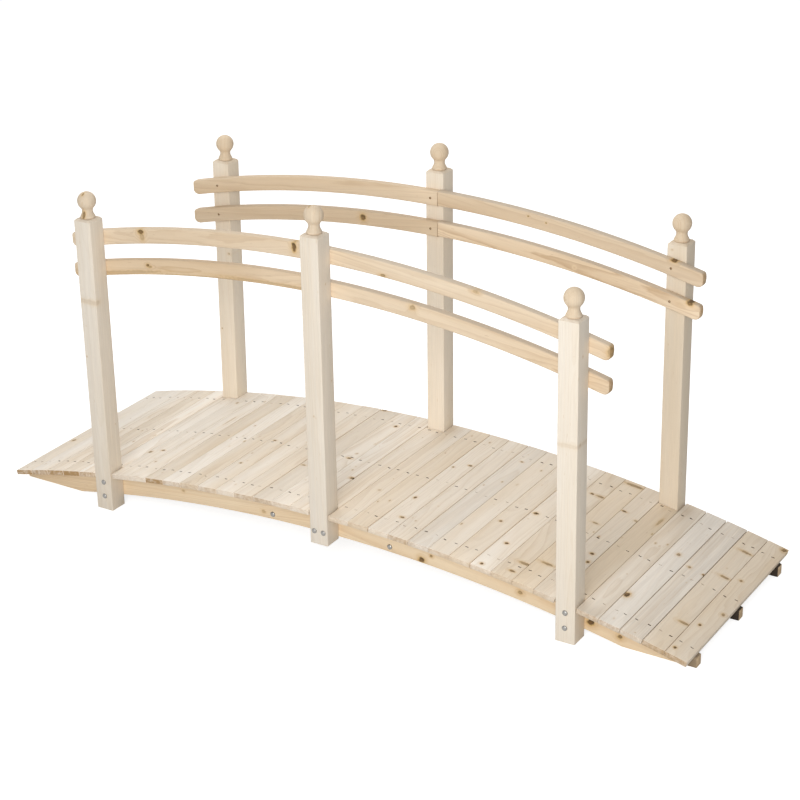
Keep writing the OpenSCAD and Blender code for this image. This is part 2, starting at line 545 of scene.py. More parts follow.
def ease(bm, edges, width, steps):
    """Rounds edges over."""
    bmesh.ops.bevel(
        bm, geom=edges, offset=width, segments=steps, profile=0.5, affect="EDGES", clamp_overlap=True)


def scratch_object(bm, name):
    """A passing object that holds a mesh for a cut."""
    mesh = bpy.data.meshes.new(name)
    bm.to_mesh(mesh)
    bm.free()
    holder = bpy.data.objects.new(name, mesh)
    bpy.context.scene.collection.objects.link(holder)
    return holder


def carve(bm, cutters):
    """Cuts the cutters' shapes out of a stick."""
    stick = scratch_object(bm, "stick")
    tool = scratch_object(cutters, "tool")
    cut = stick.modifiers.new("carve", "BOOLEAN")
    cut.operation = "DIFFERENCE"
    cut.solver = "EXACT"
    cut.object = tool
    carved = stick.evaluated_get(bpy.context.evaluated_depsgraph_get())
    result = bmesh.new()
    result.from_mesh(carved.to_mesh())
    carved.to_mesh_clear()
    for holder in (stick, tool):
        mesh = holder.data
        bpy.data.objects.remove(holder)
        bpy.data.meshes.remove(mesh)
    return result


def join_into(bm, part, place):
    """Adds a part to a mesh, in its place."""
    part.transform(place)
    mesh = bpy.data.meshes.new("part")
    part.to_mesh(mesh)
    part.free()
    bm.from_mesh(mesh)
    bpy.data.meshes.remove(mesh)


# Ways a stick lies in the bridge
def lying_across(place, tilt):
    """A board's place: its length runs towards the front, its width along the arch."""
    lie = Matrix(((0, 1, 0), (-1, 0, 0), (0, 0, 1))).to_4x4()
    return Matrix.Translation(place) @ Matrix.Rotation(tilt, 4, "Y") @ lie


def lying_along(place):
    """A rail's or stringer's place: its length runs to the right, its height up."""
    lie = Matrix(((1, 0, 0), (0, 0, -1), (0, 1, 0))).to_4x4()
    return Matrix.Translation(place) @ lie


def standing(place):
    """A post's place: its length runs up, its width to the right."""
    lie = Matrix(((0, 1, 0), (0, 0, 1), (1, 0, 0))).to_4x4()
    return Matrix.Translation(place) @ lie


def driven_towards(place, heading):
    """A bolt's place: its axis runs out of the wood, to the front or to the back."""
    lie = Matrix(((0, heading, 0), (heading, 0, 0), (0, 0, -1))).to_4x4()
    return Matrix.Translation(place) @ lie


# Finishes
class NodeWeb:
    """The nodes of a finish or of the room, with short ways to add those that they use."""

    def __init__(self, owner):
        self.owner = owner
        owner.use_nodes = True
        self.nodes = owner.node_tree.nodes
        self.links = owner.node_tree.links
        self.shader = self.nodes.get("Principled BSDF")

    def feed(self, socket, value):
        """Links a socket, or sets its own value."""
        if isinstance(value, bpy.types.NodeSocket):
            self.links.new(value, socket)
        elif socket.type == "RGBA":
            socket.default_value = (*value, 1.0)
        else:
            socket.default_value = value

    def add(self, kind, feeds, output=0, **settings):
        """Adds a node with its settings, feeds its sockets and gives one of its outputs."""
        node = self.nodes.new(f"ShaderNode{kind}")
        for name, value in settings.items():
            setattr(node, name, value)
        for socket, value in feeds.items():
            self.feed(node.inputs[socket], value)
        return node.outputs[output]

    def maths(self, operation, first, second=0.0, clamp=False):
        """Arithmetic on one or two numbers."""
        return self.add("Math", {0: first, 1: second}, operation=operation, use_clamp=clamp)

    def plus(self, first, second):
        """The sum of two numbers."""
        return self.maths("ADD", first, second)

    def minus(self, first, second):
        """The difference of two numbers."""
        return self.maths("SUBTRACT", first, second)

    def times(self, first, second):
        """The product of two numbers."""
        return self.maths("MULTIPLY", first, second)

    def larger(self, first, second):
        """The larger of two numbers."""
        return self.maths("MAXIMUM", first, second)

    def reach(self, first, second):
        """The distance from nought of a place that two numbers give."""
        return self.maths("SQRT", self.plus(self.times(first, first), self.times(second, second)))

    def fade(self, value, start, stop, low=0.0, high=1.0):
        """A soft step from low to high while the value goes from start to stop."""
        feeds = dict(enumerate((value, start, stop, low, high)))
        return self.add("MapRange", feeds, interpolation_type="SMOOTHSTEP")

    def mix(self, share, first, second):
        """Two colours mixed by a share."""
        return self.add("Mix", {0: share, 6: first, 7: second}, 2, data_type="RGBA", clamp_factor=True)

    def scaled(self, vector, factor):
        """A colour or a place scaled by a number."""
        return self.add("VectorMath", {0: vector, 3: factor}, operation="SCALE")

    def stretched(self, vector, along, across):
        """A place in the log, scaled along and across the grain."""
        return self.add("VectorMath", {0: vector, 1: (along, across, across)}, operation="MULTIPLY")

    def speckle(self, place, detail=2.0, roughness=0.5):
        """Soft noise from 0 to 1."""
        feeds = {"Vector": place, "Scale": 1.0, "Detail": detail, "Roughness": roughness}
        return self.add("TexNoise", feeds, "Fac")

    def layer(self, name, output):
        """An attribute of the piece."""
        return self.add("Attribute", {}, output, attribute_name=name)

    def apart(self, vector):
        """The three numbers of a vector."""
        node = self.nodes.new("ShaderNodeSeparateXYZ")
        self.feed(node.inputs[0], vector)
        return node.outputs

    def spread(self, value):
        """A place on a line, from one number."""
        return self.add("CombineXYZ", {0: value})

    def ramp(self, value, stops):
        """A number read off a curve of (place, height) stops."""
        node = self.nodes.new("ShaderNodeValToRGB")
        elements = node.color_ramp.elements
        while len(elements) < len(stops):
            elements.new(0.5)
        for element, (place, height) in zip(elements, stops):
            element.position = place
            element.color = (height, height, height, 1.0)
        self.feed(node.inputs[0], value)
        return node.outputs[0]

    def relief(self, height, strength, distance):
        """Relief of the surface from a height."""
        bump = self.add("Bump", {"Strength": strength, "Distance": distance, "Height": height})
        self.links.new(bump, self.shader.inputs["Normal"])

    def by_sight(self, unseen, seen, output):
        """Gives the output one shader for light on the bridge, and another for what is seen or mirrored."""
        path = self.nodes.new("ShaderNodeLightPath").outputs
        direct = self.larger(path["Is Camera Ray"], path["Is Glossy Ray"])
        sight = self.larger(direct, path["Is Transmission Ray"])
        choice = self.add("MixShader", {0: sight, 1: unseen, 2: seen})
        self.links.new(choice, self.nodes[output].inputs["Surface"])


# Each kind of fir: gap of its growth rings in m, depth of their colour and of the streaks, and the
# rings' wander in m
FIR_KINDS = {
    "deck": (0.0060, 0.26, 0.26, 0.030),
    "post": (0.0050, 0.16, 0.10, 0.012),
    "finial": (0.0046, 0.34, 0.22, 0.012),
    "rail": (0.0050, 0.42, 0.34, 0.010),
    "stringer": (0.0052, 0.45, 0.34, 0.012),
}
# Noise in the fir: scale along and across the grain, detail and roughness
FIR_NOISE = {
    "broad": (1.7, 15.0, 2.0, 0.5),
    "streak": (2.6, 95.0, 3.0, 0.6),
    "fibre": (14.0, 620.0, 3.0, 0.6),
    "fleck": (38.0, 240.0, 1.0, 0.5),
    "rough_edge": (95.0, 130.0, 3.0, 0.5),
    "sway": (2.4, 9.0, 2.0, 0.5),
    "jitter": (11.0, 60.0, 2.0, 0.5),
}
# Soft steps of a knot, by the distance from its middle with its rim at one: start, stop, low and high
HEART_STEP = (1.00, 0.50)
RIM_INSIDE_STEP = (0.20, 0.75)
RIM_OUTSIDE_STEP = (1.15, 0.85)
DARK_SIDE_STEP = (-1.0, 0.7, 0.3, 1.0)
FAR_HALO_STEP = (3.4, 1.2, 0.0, 0.3)
NEAR_HALO_STEP = (1.8, 0.8, 0.0, 0.6)
PULL_STEP = (3.6, 0.6)
# How ragged a knot's rim is, where its dark side lies, how soon weak knots fade, and how dark its heart
# and its rim are
KNOT_RAGGED = 1.3
KNOT_SLANT = 0.5
KNOT_FADING = 2.2
HEART_DEPTH = 0.9
RIM_DEPTH = 0.85
# How far jitter, knots and uneven years move the growth rings, in m, and how often the years change, per m
RING_JITTER = 0.0035
KNOT_PULL = 0.007
RING_UNEVEN = 0.045
YEARS_SCALE = 30.0
# Late wood through one growth ring, as (place, share)
LATE_WOOD = ((0.0, 0.0), (0.45, 0.10), (0.80, 0.75), (0.90, 1.0), (1.0, 0.0))
# Soft steps of the colour: start, stop, low and high
STAIN_STEP = (0.15, 0.62)
RING_STEP = (0.2, 0.8)
RING_SHARES = (0.55, 1.25)
STREAK_STEP = (0.52, 0.85)
FLECK_STEP = (0.70, 0.82, 0.0, 0.45)
SAWN_STEP = (0.2, 0.7, 0.6, 1.0)
END_STEP = (0.2, 0.7, 0.25, 0.75)
BRUISE_AND_SHADE_STEP = (0.2, 0.8, 0.75, 1.0)
FIBRE_STEP = (0.2, 0.8, 0.95, 1.04)
# How much darker the wood turns as painted shade where the bruise goes past one, at the inner stringer tips
SHADE_DARKENING_STEP = (1.0, 2.0, 1.0, 0.3)
# How much warmth varies over a stick, and how much brighter one step of lightness is
WARMTH_SPREAD = 1.3
LIGHT_STEP = 0.10
# Roughness of the wood: soft step over the fibres, less on late wood, more on end grain; and its
# mirror share
SHEEN_STEP = (0.2, 0.8, 0.60, 0.74)
LATE_SHEEN = 0.07
END_DULLNESS = 0.12
WOOD_SPECULAR = 0.28
# Relief of the wood: height of late wood, fibres and streaks, depth of knot rims, and its strength and
# distance in m
LATE_HEIGHT = 0.30
FIBRE_HEIGHT = 0.9
STREAK_HEIGHT = 0.5
RIM_SINK = 0.8
WOOD_RELIEF = (0.35, 0.0007)


def fir_finish(kind):
    """Planed fir: growth rings round the log's heart, fibres, stain, knots, end grain, and sawn edges and
    bruises, both partly painted shade.
    """
    paint = bpy.context.scene.bridge_colours
    pale, tan, line = (getattr(paint, f"{kind}_{shade}") for shade in ("pale", "tan", "line"))
    ring_gap, ring_depth, streak_depth, wander = FIR_KINDS[kind]
    web = NodeWeb(bpy.data.materials.new(f"{kind}_fir"))
    grain = web.layer("grain", "Vector")
    light, warm, stain = web.apart(web.layer("tone", "Vector"))
    end_grain, sawn_edge, bruise, figure = (web.layer(name, "Fac") for name in FACE_LAYERS)
    broad, streak, fibre, fleck, rough_edge, sway, jitter = (
        web.speckle(web.stretched(grain, along, across), detail, roughness)
        for along, across, detail, roughness in FIR_NOISE.values())

    # Knots: their heart, their dark rim, the stain round them and the pull on the grain
    heart_share = 0.0
    rim_share = 0.0
    halo_share = 0.0
    pull = 0.0
    wobble = web.times(web.minus(rough_edge, 0.5), KNOT_RAGGED)
    for knot_layer in KNOT_LAYERS:
        ahead, aside, strength = web.apart(web.layer(knot_layer, "Vector"))
        distance = web.reach(ahead, aside)
        ragged = web.plus(distance, wobble)
        depth = web.maths("POWER", strength, KNOT_FADING)
        heart = web.times(web.fade(ragged, *HEART_STEP), depth)
        dark_side = web.fade(web.plus(aside, web.times(ahead, KNOT_SLANT)), *DARK_SIDE_STEP)
        rim = web.times(web.fade(ragged, *RIM_INSIDE_STEP), web.fade(ragged, *RIM_OUTSIDE_STEP))
        rim = web.times(web.times(rim, dark_side), depth)
        halo = web.plus(web.fade(ragged, *FAR_HALO_STEP), web.fade(ragged, *NEAR_HALO_STEP))
        heart_share = web.larger(heart, heart_share)
        rim_share = web.larger(rim, rim_share)
        halo_share = web.larger(web.times(halo, strength), halo_share)
        pull = web.plus(web.times(web.fade(distance, *PULL_STEP), strength), pull)

    # Growth rings round the heart of the log, pulled aside by the knots
    _, across, below = web.apart(grain)
    radius = web.plus(web.reach(across, below), web.times(sway, wander))
    radius = web.plus(radius, web.times(jitter, RING_JITTER))
    radius = web.minus(radius, web.times(pull, KNOT_PULL))
    uneven = web.speckle(web.stretched(web.spread(radius), YEARS_SCALE, YEARS_SCALE))
    radius = web.plus(radius, web.times(uneven, RING_UNEVEN))
    late = web.ramp(web.maths("FRACT", web.maths("DIVIDE", radius, ring_gap)), LATE_WOOD)

    # Colour, from the pale ground to the marks on it
    warmth = web.maths("ADD", warm, web.times(web.minus(broad, 0.5), WARMTH_SPREAD), clamp=True)
    wood = web.mix(warmth, pale, tan)
    faint_ring, deep_ring = (share * ring_depth for share in RING_SHARES)
    ring_share = web.times(late, web.fade(broad, *RING_STEP, faint_ring, deep_ring))
    marks = (
        (web.maths("MULTIPLY", stain, web.fade(streak, *STAIN_STEP), clamp=True), paint.stain),
        (web.times(ring_share, figure), line),
        (web.times(web.fade(streak, *STREAK_STEP, 0.0, streak_depth), figure), line),
        (web.fade(fleck, *FLECK_STEP), line),
        # Sawn edges: rough sawn wood, with painted shade on the rails' tops
        (web.times(sawn_edge, web.fade(fibre, *SAWN_STEP)), paint.sawn_and_shaded_wood),
        (web.times(end_grain, web.fade(streak, *END_STEP)), paint.end_wood),
        (halo_share, paint.knot_halo),
        (web.times(heart_share, HEART_DEPTH), paint.knot_heart),
        (web.times(rim_share, RIM_DEPTH), paint.knot_rim),
        # Bruised wood: crushed wood, with painted shade in the staple slots, the screw holes and at the
        # stringer tips
        (web.times(bruise, web.fade(fibre, *BRUISE_AND_SHADE_STEP)), paint.bruised_and_shaded_wood),
    )
    for share, mark in marks:
        wood = web.mix(share, wood, mark)
    brightness = web.plus(web.times(light, LIGHT_STEP), web.fade(fibre, *FIBRE_STEP))
    # Painted shade darkens the inner stringer tips further
    brightness = web.times(brightness, web.fade(bruise, *SHADE_DARKENING_STEP))
    web.links.new(web.scaled(wood, brightness), web.shader.inputs["Base Color"])

    # Sheen of planed wood, and the relief of rings, fibres and knots
    gloss = web.minus(web.fade(fibre, *SHEEN_STEP), web.times(late, LATE_SHEEN))
    gloss = web.plus(gloss, web.times(end_grain, END_DULLNESS))
    web.links.new(gloss, web.shader.inputs["Roughness"])
    web.shader.inputs["Specular IOR Level"].default_value = WOOD_SPECULAR
    height = web.plus(web.times(late, LATE_HEIGHT), web.times(fibre, FIBRE_HEIGHT))
    height = web.plus(height, web.times(streak, STREAK_HEIGHT))
    height = web.minus(height, web.times(rim_share, RIM_SINK))
    web.relief(height, *WOOD_RELIEF)
    return web.owner


# Plated steel: scale, detail and roughness of its spangle and of its smears, and share of the tint in
# dark spangles
SPANGLE_NOISE = (420.0, 3.0, 0.6)
SMEAR_NOISE = (90.0, 2.0, 0.5)
DARK_SPANGLE = 0.62
# Soft steps of the spangle and the smears, and relief of the spangle: strength, and distance in m
SPANGLE_STEP = (0.3, 0.75)
SMEAR_STEP = (0.25, 0.75)
SPANGLE_RELIEF = (0.2, 0.0003)
# Least and most roughness of the hardware
STAPLE_GLOSS = (0.45, 0.65)
SCREW_GLOSS = (0.4, 0.6)
ZINC_GLOSS = (0.28, 0.42)


def plated_finish(name, tint, gloss):
    """Plated steel: a dull metal with fine spangle and handling marks."""
    web = NodeWeb(bpy.data.materials.new(name))
    place = web.add("TexCoord", {}, "Object")
    spangle, smear = (
        web.speckle(web.scaled(place, scale), detail, roughness)
        for scale, detail, roughness in (SPANGLE_NOISE, SMEAR_NOISE))
    dark = [DARK_SPANGLE * value for value in tint]
    web.links.new(web.mix(web.fade(spangle, *SPANGLE_STEP), tint, dark), web.shader.inputs["Base Color"])
    web.links.new(web.fade(smear, *SMEAR_STEP, *gloss), web.shader.inputs["Roughness"])
    web.shader.inputs["Metallic"].default_value = 1.0
    web.relief(spangle, *SPANGLE_RELIEF)
    return web.owner


# The floor as the camera sees it: the grey that takes the shadow, and the glow that lifts the rest to white
FLOOR_SEEN = (0.62, 0.62, 0.62)
FLOOR_GLOW = 0.785


def floor_finish(name, pale):
    """A pale floor that shows white to the camera and keeps the bridge's shadow."""
    web = NodeWeb(bpy.data.materials.new(name))
    web.nodes.remove(web.shader)
    cloth = web.add("BsdfDiffuse", {"Color": pale})
    seen_cloth = web.add("BsdfDiffuse", {"Color": FLOOR_SEEN})
    glow = web.add("Emission", {"Strength": FLOOR_GLOW})
    bright = web.add("AddShader", {0: seen_cloth, 1: glow})
    web.by_sight(cloth, bright, "Material Output")
    return web.owner


# The arch that the deck follows
def arch_top():
    """Height of the stringers' top edge at the middle of the bridge."""
    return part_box("stringer_front_right")[1].z


def arch_height(x, depth=0.0):
    """Height of the arch at a place along the bridge, a depth below the stringers' top edge."""
    arch_radius = bpy.context.scene.bridge_deck.arch_radius
    radius = arch_radius - depth
    return arch_top() - arch_radius + math.sqrt(radius * radius - x * x)


def board_node(number):
    """The CAD node that holds a board."""
    end = "left" if number < 0 else "right"
    count = abs(number)
    if count == 0:
        return "board_middle_posts"
    if count <= BAY_LAST:
        return f"boards_{end}_bay"
    if count == POST_BOARD:
        return f"board_{end}_posts"
    return f"boards_{end}_ramp"


# Lightness, warmth and stain of the kinds of board in the deck
BOARD_LOOKS = {
    "cream": (0.35, 0.2, 0.0), "warm": (0.15, 0.42, 0.0), "tan": (0.0, 0.75, 0.0), "rosy": (0.0, 0.45, 0.1),
    "ash": (-0.1, 0.15, 0.22), "grey": (-0.05, 0.08, 0.36), "dusky": (-0.3, 0.5, 0.15),
    "brown": (-0.55, 0.9, 0.08), "bright": (0.9, 0.1, 0.0), "umber": (-0.5, 0.75, 0.12),
}
# Boards that aren't cream. The pale boards at the left end and the dark boards from 11 to the right end are
# partly painted light and shade: lighter where the left ramp catches more light, darker where the right ramp
# catches less. The rest is the wood's own tone
ODD_BOARDS = {
    -17: "warm", -14: "warm", -13: "bright", -9: "warm", -7: "tan", -6: "warm", -4: "warm", -3: "rosy",
    0: "warm", 1: "warm", 2: "tan", 3: "warm", 4: "rosy", 5: "ash", 6: "warm", 7: "tan", 9: "tan", 10: "tan",
    11: "dusky", 12: "brown", 13: "dusky", 14: "ash", 15: "grey", 16: "umber", 17: "brown",
}
# Boards with an open joint on their right
OPEN_JOINTS = (-4, -1, 2, 4, 7, 11, 14, 15)
# How brown the sawn ends of some boards are, of others that are only tanned, and of the rest
BROWN_ENDS = {-17: 1.5, -16: 1.2, -15: 1.5, -14: 2.0, -9: 1.5, -3: 0.9, 4: 0.9, 16: 1.1, 17: 1.1}
TAN_ENDS = {-13: 1.2, -8: 0.75, -6: 0.7, -4: 0.9, 6: 0.75, 8: 0.7, 13: 0.8, 14: 0.8}
PLAIN_ENDS = (0.25, 0.6)
# Knots of each board: mm from its middle to the front, mm to the right of its middle line,
# half length along the board and half width across it in mm, and strength
DECK_KNOTS = {
    -17: ((100, -10, 6.5, 5.8, 0.84),),
    -11: ((170, -25, 5, 4.3, 0.96), (150, 10, 3.6, 5, 0.96), (-255, -5, 4.3, 3.6, 0.72)),
    -10: ((-115, 7, 30, 3, 0.44),),
    -6: ((-15, -12, 3.6, 5, 0.84), (165, -10, 3.6, 3.6, 0.84)),
    -3: ((-345, -20, 4.3, 8.6, 0.84), (105, -20, 3.6, 6.5, 0.72)),
    -2: ((5, 10, 4.3, 6.5, 0.96), (-255, 12, 5, 5, 1.00)),
    -1: ((115, 27, 5, 6.5, 1.00),),
    1: ((140, 5, 4.3, 3.6, 0.48),),
    3: ((125, -15, 5.8, 3.6, 0.96), (-135, 18, 3.6, 5.8, 0.96), (-100, -20, 3.6, 2.9, 0.84),
        (245, 15, 4.3, 6.5, 0.84)),
    5: ((-245, 0, 3.6, 4.3, 0.72),),
    7: ((100, -10, 4.3, 4.3, 0.84),),
    8: ((0, -18, 5.8, 5.8, 0.96), (195, -5, 5, 5, 1.00), (330, -7, 4.3, 4.3, 1.00)),
    9: ((-205, -7, 3.6, 5, 0.96), (-205, 20, 5, 13, 0.72), (255, 20, 6, 16, 0.72),
        (310, 10, 4.3, 7.9, 0.84)),
    10: ((-65, 8, 3.6, 8.6, 0.66), (-330, 0, 6, 28, 0.72), (215, 3, 5, 18, 0.72)),
    11: ((85, 9, 5, 5, 1.00), (130, 20, 5.8, 4.3, 1.00), (-180, -22, 3.6, 7.2, 1.00),
         (-155, 27, 4.3, 4.3, 0.60)),
    12: ((-200, 17, 22, 4, 0.55),),
    14: ((195, -24, 10.8, 7.9, 1.00), (-85, 0, 6.5, 5, 0.72)),
    15: ((-50, -15, 5, 4.3, 0.72), (-45, 29, 3.6, 2.9, 1.00)),
    16: ((-240, 8, 5, 16, 0.72), (-80, 13, 5, 14, 0.72), (200, 18, 5, 14, 0.72)),
    17: ((-100, -10, 4.3, 4.3, 0.84), (85, 17, 5.8, 5, 0.72), (175, -12, 5, 3.6, 0.96),
         (315, -20, 5, 4.3, 1.00), (-338, 22, 8, 8, 0.85)),
}
# Pin knots all over a board: half width in mm, how much longer they are, strengths, and reach from its
# middle in m
PIN_SIZE = (1.2, 2.6)
PIN_STRETCH = (1.0, 2.2)
PIN_STRENGTHS = (0.0, 0.3, 0.6)
PIN_ALONG = 0.34
PIN_ACROSS = 0.03
# How boards of one kind differ in lightness and warmth, and how strong the figure of their grain is
LIGHT_SPREAD = 0.12
WARM_SPREAD = 0.08
BOARD_FIGURES = (0.5, 0.8, 1.0, 1.3, 1.7)
# How boards differ in size, in mm: shorter, wider, thinner, and narrower beside an open joint
BOARD_SHORTER = (0.0, 2.4)
BOARD_WIDER = (-0.5, 0.6)
BOARD_THINNER = (0.0, 0.5)
OPEN_JOINT = 1.2
# Wear of a board's upright corners in mm, and the shares of its length from its middle where it may bend
CORNER_WEAR = (0.5, 0.8, 1.0, 1.5, 2.5)
BEND_SHARES = (-0.4, -0.27, -0.13, 0.0, 0.13, 0.27, 0.4)
# Waver of a board's edges and bow of its faces: size, pace along it, and the two other places in the noise
EDGE_WAVER = (0.35 * MM, 5, 9.0, 0)
FACE_BOW = (0.25 * MM, 4, 4.0, 7.0)
NOISE_STARTS = 60
# Scatter of the staples in mm along and across the board and in radians, and how deep they bite
STAPLE_ALONG = (-5, 5)
STAPLE_ACROSS = (-4, 4)
STAPLE_TURN = (-0.25, 0.25)
STAPLE_BITES = (0.55, 0.7, 0.85, 1.0)
# Length of a staple's slot over the staple's width, and rounding and seat of its wire over the wire's
# thickness
SLOT_PLAY = 1.1
WIRE_EASE = 0.25
WIRE_SEAT = 0.45


def deck_cut(rng, number):
    """How a deck board was sawn."""
    light, warm, stain = BOARD_LOOKS[ODD_BOARDS.get(number, "cream")]
    tone = (light + rng.gauss(0.0, LIGHT_SPREAD), warm + rng.gauss(0.0, WARM_SPREAD), stain)
    end_brown = BROWN_ENDS[number] if number in BROWN_ENDS else rng.uniform(*PLAIN_ENDS)
    end_brown = TAN_ENDS.get(number, end_brown)
    cut = Cut(rng, "deck", tone, end_brown, figure=rng.choice(BOARD_FIGURES))
    # The staple slots' walls are darkened as crushed wood and painted shade
    cut.bruised_and_shaded = 1.0
    cut.marked_knots(DECK_KNOTS.get(number, ()))
    while len(cut.knots) < len(KNOT_LAYERS):
        size = rng.uniform(*PIN_SIZE) * MM
        along = rng.uniform(-PIN_ALONG, PIN_ALONG)
        across = rng.uniform(-PIN_ACROSS, PIN_ACROSS)
        cut.knot(along, across, size * rng.uniform(*PIN_STRETCH), size, rng.choice(PIN_STRENGTHS))
    return cut


def waver(x, side, shift, size, pace, apart, level):
    """How far a point at a place along a board, on one of its sides, strays from true."""
    return size * noise.noise(Vector((x * pace + shift, side * apart, level)))


def staple_place(along, across, depth, turn):
    """Where a staple or its slot sits in a board."""
    return Matrix.Translation((along, across, depth)) @ Matrix.Rotation(turn, 4, "Z")


def deck_board(rng, long, wide, thick, staples):
    """One deck board with worn corners, a slight bow and the slots of its staples."""
    sizes = bpy.context.scene.bridge_deck
    bm = sawn_block(long, wide, thick)
    uprights = [edge for edge in bm.edges if abs(edge.verts[0].co.z - edge.verts[1].co.z) > thick / 2]
    for edge in uprights:
        ease(bm, [edge], rng.choice(CORNER_WEAR) * MM, 3)
    for share in BEND_SHARES:
        everything = bm.verts[:] + bm.edges[:] + bm.faces[:]
        bmesh.ops.bisect_plane(bm, geom=everything, plane_co=(share * long, 0, 0), plane_no=(1, 0, 0))
    shift = rng.uniform(0, NOISE_STARTS)
    for vert in bm.verts:
        side = 1 if vert.co.y > 0 else -1
        vert.co.y += side * waver(vert.co.x, side, shift, *EDGE_WAVER)
        vert.co.z += waver(vert.co.x, side, shift, *FACE_BOW)
    ease(bm, edges_sharper_than(bm, SQUARE_CORNER), sizes.board_ease, 2)
    cutters = bmesh.new()
    for along, across, turn, bite in staples:
        deep = sizes.staple_sink * bite * 2
        slot = sawn_block(sizes.staple_slot * bite, sizes.staple_width * SLOT_PLAY, deep)
        join_into(cutters, slot, staple_place(along, across, thick / 2, turn))
    return carve(bm, cutters)


class BRIDGE_OT_deck(bpy.types.Operator):
    """Lay the deck boards on the arch and drive their staples"""

    bl_idname = "bridge.deck"
    bl_label = "Deck boards"

    def execute(self, context):
        sizes = context.scene.bridge_deck
        rng = random.Random(context.scene.bridge_stage.seed)
        finish = fir_finish("deck")
        steel = plated_finish("staple_steel", context.scene.bridge_colours.dark_steel, STAPLE_GLOSS)
        pitch = sizes.board_width + sizes.board_gap
        deck_width = size_of("boards_right_bay").y
        short_width = size_of("board_middle_posts").y
        rows = [middle_of(f"stringer_{row}_right").y for row in STRINGER_ROWS]
        centre = Vector((0, 0, arch_top() - sizes.arch_radius))
        stacks = {}
        staple_wires = bmesh.new()
        for number in range(-RAMP_LAST, RAMP_LAST + 1):
            tilt = number * pitch / sizes.arch_radius
            node = board_node(number)
            long = short_width
            if not node.startswith("board_"):
                long = deck_width - rng.uniform(*BOARD_SHORTER) * MM
            open_joint = OPEN_JOINT * MM if number in OPEN_JOINTS else 0.0
            wide = sizes.board_width + rng.uniform(*BOARD_WIDER) * MM - open_joint
            thick = sizes.board_thickness - rng.uniform(*BOARD_THINNER) * MM
            staples = []
            for row in rows:
                for half in (-1, 1):
                    along = -row + rng.uniform(*STAPLE_ALONG) * MM
                    across = half * wide / 4 + rng.uniform(*STAPLE_ACROSS) * MM
                    turn = rng.uniform(*STAPLE_TURN)
                    staples.append((along, across, turn, rng.choice(STAPLE_BITES)))
            up = Vector((math.sin(tilt), 0, math.cos(tilt)))
            shift = Vector((-open_joint / 2, 0, 0))
            place = lying_across(centre + up * (sizes.arch_radius + thick / 2) + shift, tilt)
            board = deck_board(rng, long, wide, thick, staples)
            stacks.setdefault(node, Stack()).add(board, place, deck_cut(rng, number))
            for along, across, turn, bite in staples:
                wire = sawn_block(sizes.staple_wire, sizes.staple_width, sizes.staple_wire)
                ease(wire, wire.edges[:], sizes.staple_wire * WIRE_EASE, 1)
                depth = thick / 2 - sizes.staple_sink * bite + sizes.staple_wire * WIRE_SEAT
                join_into(staple_wires, wire, place @ staple_place(along, across, depth, turn))
        for node, stack in stacks.items():
            stack.piece(f"fir_{node}", finish, "deck_wood", [node])
        settle_shape("deck_staples", staple_wires, steel)
        return {"FINISHED"}


# Rounding of a post's chamfered edges
CHAMFER_EASE = 0.7 * MM


def post_stick(long, wide):
    """A square post along X, with its top chamfered and its long edges eased."""
    sizes = bpy.context.scene.bridge_rails
    bm = sawn_block(long, wide, wide)
    bmesh.ops.translate(bm, vec=(long / 2, 0, 0), verts=bm.verts[:])
    top = [edge for edge in bm.edges if min(vert.co.x for vert in edge.verts) > long / 2]
    ease(bm, top, sizes.post_chamfer, 1)
    ease(bm, edges_sharper_than(bm, SQUARE_CORNER), sizes.post_ease, 3)
    ease(bm, edges_sharper_than(bm, CHAMFER_CORNER), CHAMFER_EASE, 1)
    return in_order(bm)


# Tints of the posts and finials: lightness, warmth and stain
POST_TONES = {
    "front_left": (0.05, 0.3, 0.16), "front_middle": (0.1, 0.25, 0.16), "front_right": (-0.1, 0.2, 0.0),
    "back_left": (0.4, 0.55, 0.0), "back_middle": (0.45, 0.5, 0.0), "back_right": (0.0, 0.8, 0.0),
}
# How the hand-bolted posts stand: degrees that they lean to the right, and mm that they sit to the right
POST_SETS = {
    "front_left": (-0.12, -2.5), "front_middle": (-0.17, -0.5), "front_right": (-0.62, 0.0),
    "back_left": (0.6, 2.0), "back_middle": (0.05, 2.0), "back_right": (-0.6, 0.5),
}
# Knots of the posts: height above the foot, place to the right or to the back of the middle line,
# half height and half width, all in mm, strength, and the axis that the knot runs along
POST_KNOTS = {
    "front_left": ((670, -27, 6, 12, 0.3, "y"), (495, -22, 2, 2, 0.4, "z")),
    "front_right": ((576, 0, 5, 45, 0.22, "z"), (577, -13, 5, 2, 0.5, "y"), (817, -5, 3, 2, 0.4, "y")),
    "back_left": ((620, 20, 3, 4, 0.5, "z"), (360, -19, 2, 2, 0.6, "z")),
    "back_right": ((898, -14, 2, 3, 0.35, "z"),),
}
# Pin knots of the posts: half height in mm, half width over it, strengths, shares of the post's height,
# and reach across in m
POST_PIN_SIZE = (1.2, 2.2)
POST_PIN_WIDTH = 0.8
POST_PIN_STRENGTHS = (0.0, 0.2, 0.4)
POST_PIN_UP = (0.05, 0.95)
POST_PIN_ACROSS = 0.022


def post_nodes(kind):
    """The place and the CAD node of each post or finial."""
    for side in SIDES:
        for place in POST_PLACES:
            yield f"{side}_{place}", f"{kind}_{side}_{place}"


def post_lie(key, node):
    """Where a post or its finial stands: upright, but for the post's own lean."""
    lean, shift = POST_SETS[key]
    foot = foot_of(node)
    pivot = Vector((foot.x, foot.y, arch_height(foot.x)))
    stand = Matrix.Translation(pivot + Vector((shift * MM, 0.0, 0.0)))
    return stand @ Matrix.Rotation(math.radians(lean), 4, "Y") @ Matrix.Translation(-pivot) @ standing(foot)


